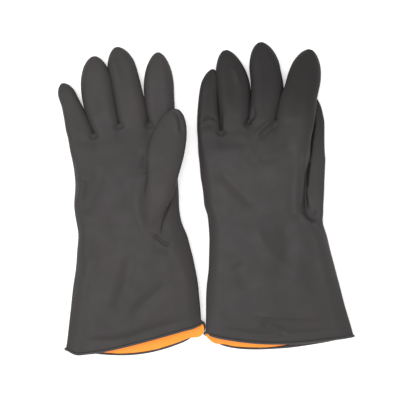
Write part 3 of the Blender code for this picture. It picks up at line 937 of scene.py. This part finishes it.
def well_inside(points, faces, front):
    """Which faces of the wall behind lie wholly behind the front wall. In tight folds, where they would come through,
    the two walls are one."""
    centres = points[faces].mean(axis=1)

    def depth(spot):
        place, normal, *_ = front.find_nearest(Vector(spot))
        return -(Vector(spot) - place).dot(normal)

    corners = np.array([depth(p) for p in points])
    middles = np.array([depth(p) for p in centres])
    return (corners[faces].min(axis=1) > LEAST_DEPTH) & (middles > LEAST_DEPTH)


def turn_out_corner(points, faces, tuck):
    """Keep the orange wall's edge just inside the mouth, but let it show over the bead at the folded corner."""
    edge = np.unique(border_edges(faces))
    spot, reach = tuck[:2]
    near = np.exp(-(((points[edge, 0] - spot) / reach) ** 2)) * (points[edge, 2] < CORNER_TOP)
    points[edge, 1] += lerp(EDGE_IN, -EDGE_OUT, near)
    points[edge, 2] += EDGE_UP * near


def mouth_bead(name, points, faces, tuck, thick_roll, material):
    """A rolled bead round the mouth. Its section is a circle. Where the corner is folded under it sits lower and
    further in, and one stretch of the lower lip is rolled more thickly."""
    path = evened_loop(points[closed_loop(border_edges(faces))], 3)
    ahead = np.roll(path, -1, axis=0) - np.roll(path, 1, axis=0)
    ahead /= np.linalg.norm(ahead, axis=1)[:, None]
    level = np.array((0.0, -1.0, 0.0))
    out = level - ahead * (ahead @ level)[:, None]
    out /= np.linalg.norm(out, axis=1)[:, None]
    up = np.cross(ahead, out)
    spot, reach, inward, down = tuck
    near = np.exp(-(((path[:, 0] - spot) / reach) ** 2)) * (path[:, 2] < BEAD_CORNER_TOP)
    centre = path.copy()
    centre[:, 1] += near * inward
    centre[:, 2] -= near * down
    middle, stretch, extra = thick_roll
    radius = BEAD_RADIUS + extra * np.exp(-(((path[:, 0] - middle) / stretch) ** 4)) * (path[:, 2] < LOWER_LIP_TOP)
    radius = evened_loop(radius, 6)
    angles = 2 * math.pi * np.arange(BEAD_SIDES) / BEAD_SIDES
    rings = [centre + (out * math.cos(a) + up * math.sin(a)) * radius[:, None] for a in angles]
    places = np.stack(rings, axis=1).reshape(-1, 3)
    places[:, 2] = np.maximum(places[:, 2], REST * 0.5)
    polygons = []
    for i in range(len(path)):
        a, b = i * BEAD_SIDES, (i + 1) % len(path) * BEAD_SIDES
        for k in range(BEAD_SIDES):
            m = (k + 1) % BEAD_SIDES
            polygons.append((a + k, a + m, b + m, b + k))
    mesh = bpy.data.meshes.new(name)
    mesh.from_pydata(((places + LAYOUT) * MM).tolist(), [], polygons)
    mesh.shade_smooth()
    return linked(mesh, material)


def evened_loop(values, rounds):
    """Even out values along a closed loop."""
    for _ in range(rounds):
        values = (np.roll(values, 1, axis=0) + 2 * values + np.roll(values, -1, axis=0)) / 4
    return values


# ---------------------------------------------------------------- materials

def rubber(name, tones, roughness, specular, grain, painted_shade_tone=1.0):
    """Matt latex: large soft patches between three tones, uneven gloss, a fine grain and faint flow marks. A painted
    shade tone below 1 adds painted shade, darkening it from the palm to the fingertips."""
    material = bpy.data.materials.new(name)
    material.use_nodes = True
    tree = material.node_tree
    shader = tree.nodes["Principled BSDF"]
    place = tree.nodes.new("ShaderNodeTexCoord").outputs["Object"]

    def noise(scale, detail):
        node = tree.nodes.new("ShaderNodeTexNoise")
        node.inputs["Scale"].default_value = scale
        node.inputs["Detail"].default_value = detail
        tree.links.new(place, node.inputs["Vector"])
        return node.outputs["Fac"]

    def spread(value, low, high, span=(0.35, 0.65), interpolation="LINEAR"):
        node = tree.nodes.new("ShaderNodeMapRange")
        node.interpolation_type = interpolation
        for socket, number in zip(("From Min", "From Max", "To Min", "To Max"), (*span, low, high)):
            node.inputs[socket].default_value = number
        tree.links.new(value, node.inputs["Value"])
        return node.outputs["Result"]

    def mixed(share, first, second, mode="MIX"):
        node = tree.nodes.new("ShaderNodeMix")
        node.data_type = "RGBA"
        node.blend_type = mode
        for socket, value in (("Factor", share), ("A", first), ("B", second)):
            if isinstance(value, bpy.types.NodeSocket):
                tree.links.new(value, node.inputs[socket])
            else:
                node.inputs[socket].default_value = (*value, 1.0) if isinstance(value, tuple) else value
        return node.outputs["Result"]

    def bump(height, strength, depth):
        node = tree.nodes.new("ShaderNodeBump")
        node.inputs["Strength"].default_value = strength
        node.inputs["Distance"].default_value = depth
        tree.links.new(height, node.inputs["Height"])
        return node

    colour = mixed(spread(noise(14.0, 2.0), 0.0, 1.0), tones[0], tones[1])
    colour = mixed(spread(noise(23.0, 3.0), 0.0, 0.7), colour, tones[2])
    # Painted shade: the colour darkens from the palm towards the fingertips, standing in for less light falling
    # there.
    if painted_shade_tone < 1.0:
        split = tree.nodes.new("ShaderNodeSeparateXYZ")
        tree.links.new(place, split.inputs["Vector"])
        tip_shade_share = spread(split.outputs["Y"], 0.0, 1.0, PAINTED_SHADE_SPAN, "SMOOTHSTEP")
        painted_tip_shade = mixed(tip_shade_share, (1.0, 1.0, 1.0), (painted_shade_tone, painted_shade_tone, painted_shade_tone * 0.97))
        colour = mixed(1.0, colour, painted_tip_shade, "MULTIPLY")
    tree.links.new(colour, shader.inputs["Base Color"])
    tree.links.new(spread(noise(60.0, 4.0), roughness - 0.05, roughness + 0.06), shader.inputs["Roughness"])
    shader.inputs["Specular IOR Level"].default_value = specular
    fine = bump(noise(1400.0, 3.0), grain, 0.0002)
    broad = bump(noise(75.0, 2.0), 0.3, 0.0012)
    tree.links.new(fine.outputs["Normal"], broad.inputs["Normal"])
    tree.links.new(broad.outputs["Normal"], shader.inputs["Normal"])
    return material


# y in metres over which the painted shade darkens a glove towards its fingertips.
PAINTED_SHADE_SPAN = (0.02, 0.14)
BLACK_TONES = ((0.0385, 0.0335, 0.0325), (0.0315, 0.0312, 0.0275), (0.038, 0.032, 0.0345))
# The left-hand glove's black has painted shade towards its fingertips, so the back of its fingers is the darkest part
# of the pair.
BLACK = {
    "right": rubber("black_rubber_palm_look", BLACK_TONES, 0.48, 0.26, 0.25),
    "left": rubber("black_rubber_back_look", BLACK_TONES, 0.48, 0.26, 0.25, 0.42),
}
ORANGE_TONES = ((1.0, 0.335, 0.034), (1.0, 0.36, 0.045), (0.98, 0.315, 0.03))
ORANGE = rubber("orange_rubber_look", ORANGE_TONES, 0.5, 0.3, 0.15)
BEAD = rubber("bead_look", ((0.028, 0.026, 0.026), (0.025, 0.026, 0.023), (0.030, 0.027, 0.028)), 0.4, 0.45, 0.15)


def set_glow(material, colour, strength):
    shader = material.node_tree.nodes["Principled BSDF"]
    shader.inputs["Emission Color"].default_value = (*colour, 1.0)
    shader.inputs["Emission Strength"].default_value = strength


# Painted light: the orange wall glows faintly, standing in for the light that thin orange latex lets through, so it
# is never quite dark.
set_glow(ORANGE, (1.0, 0.30, 0.02), 0.1)


# ---------------------------------------------------------------- the gloves

def blend_across(piece, joint, before, after, along):
    """Bake a piece's transform into its mesh; it is not bent between the two bodies of the joint. The points before
    and after its axis are not used.
    """
    joint = JOINTS[joint]
    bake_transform(piece)


def attach(piece, name, group):
    """Make a hand piece follow the hand's body; any other piece only has its transform baked into its mesh."""
    if group == "hand":
        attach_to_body(piece, f"{name}_hand")
    elif group == "cuff":
        blend_across(piece, f"{name}_wrist_bend", -WRIST_ZONE, WRIST_ZONE, Vector((0.0, -1.0, 0.0)))
    elif group == "thumb":
        joint = f"{name}_thumb_swing"
        low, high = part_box(f"{name}_thumb_skin")
        place = JOINTS[joint]["pos_m"]
        along = Vector(((low.x + high.x) / 2 - place[0], high.y - place[1], 0.0)).normalized()
        blend_across(piece, joint, *THUMB_ZONE, along)
    else:
        finger, part = group.split("_")
        first, second = f"{name}_{finger}_bend", f"{name}_{finger}_tip_bend"
        along = Vector(JOINTS[second]["pos_m"]) - Vector(JOINTS[first]["pos_m"])
        along = Vector((along.x, along.y, 0.0)).normalized()
        blend_across(piece, first if part == "knuckle" else second, -FINGER_ZONE, FINGER_ZONE, along)


def make_wall(name, layer, surface, outer, inner, material):
    """A glove's black or orange wall, in pieces cut at the joints."""
    points, normals, faces, groups, names = surface
    for index, group in enumerate(names):
        patch = faces[groups == index]
        piece = wall_piece(f"{name}_{group}_{layer}_look", points, normals, patch, outer, inner, material)
        attach(piece, name, group)
        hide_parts(f"{name}_{group}_{layer}")


def make_glove(name, glove):
    cage = build_cage(name, glove)
    lines = evening_lines(glove)
    surface = shaped_surface(f"{name}_surface", cage, FINE, FOLDS[name], lines)
    points, _, faces = surface[:3]
    front = BVHTree.FromPolygons(points.tolist(), faces.tolist())
    bead = mouth_bead(f"{name}_cuff_bead_look", points, faces, glove["tuck"], glove["thick_roll"], BEAD)
    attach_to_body(bead, f"{name}_cuff")
    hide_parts(f"{name}_cuff_bead")
    make_wall(name, "skin", surface, 0.0, BLACK_WALL, BLACK[name])

    outer = BLACK_WALL + LAYER_GAP
    points, normals, faces, groups, names = shaped_surface(
        f"{name}_surface", cage, COARSE, behind(FOLDS[name]), lines
    )
    keep = well_inside(points - normals * outer, faces, front)
    turn_out_corner(points, faces, glove["tuck"])
    surface = points, normals, faces[keep], groups[keep], names
    make_wall(name, "lining", surface, outer, outer + ORANGE_WALL, ORANGE)


for glove_name, glove_data in GLOVES.items():
    make_glove(glove_name, glove_data)

# ---------------------------------------------------------------- stage

FLOOR_SIZE = 3.0
FLOOR_GAP = 0.0005
# The photograph's frame covers this width at this height above the surface.
FRAME_WIDTH = 0.4544
FRAME_HEIGHT = 0.009


def make_stage():
    """A pale floor in soft light, and the camera straight above."""
    scene = bpy.context.scene
    material = bpy.data.materials.new("floor")
    material.use_nodes = True
    shader = material.node_tree.nodes["Principled BSDF"]
    shader.inputs["Base Color"].default_value = (0.93, 0.93, 0.93, 1)
    shader.inputs["Roughness"].default_value = 0.9
    set_glow(material, (1.0, 1.0, 1.0), 0.35)
    mesh = bpy.data.meshes.new("floor")
    corners = [(x * FLOOR_SIZE, y * FLOOR_SIZE, 0.0) for x, y in ((-1, -1), (1, -1), (1, 1), (-1, 1))]
    mesh.from_pydata(corners, [], [(0, 1, 2, 3)])
    floor = linked(mesh, material)
    floor.location.z = cad_box[0].z - FLOOR_GAP
    scene.world = bpy.data.worlds.new("studio")
    scene.world.use_nodes = True
    background = scene.world.node_tree.nodes["Background"]
    background.inputs["Color"].default_value = (1, 1, 1, 1)
    background.inputs["Strength"].default_value = 0.92
    lamp = bpy.data.lights.new("key", "AREA")
    lamp.size = 1.5
    lamp.energy = 11.0
    key = bpy.data.objects.new("key", lamp)
    scene.collection.objects.link(key)
    key.location = (-0.45, -0.15, 1.4)
    key.rotation_euler = (-key.location).to_track_quat("-Z", "Y").to_euler()
    lens = bpy.data.cameras.new("camera")
    lens.lens = 85.0
    camera = bpy.data.objects.new("camera", lens)
    scene.collection.objects.link(camera)
    camera.location = (-0.00638, -0.0004, FRAME_WIDTH * lens.lens / lens.sensor_width + FRAME_HEIGHT)
    scene.camera = camera
    scene.view_settings.view_transform = "Standard"


make_stage()
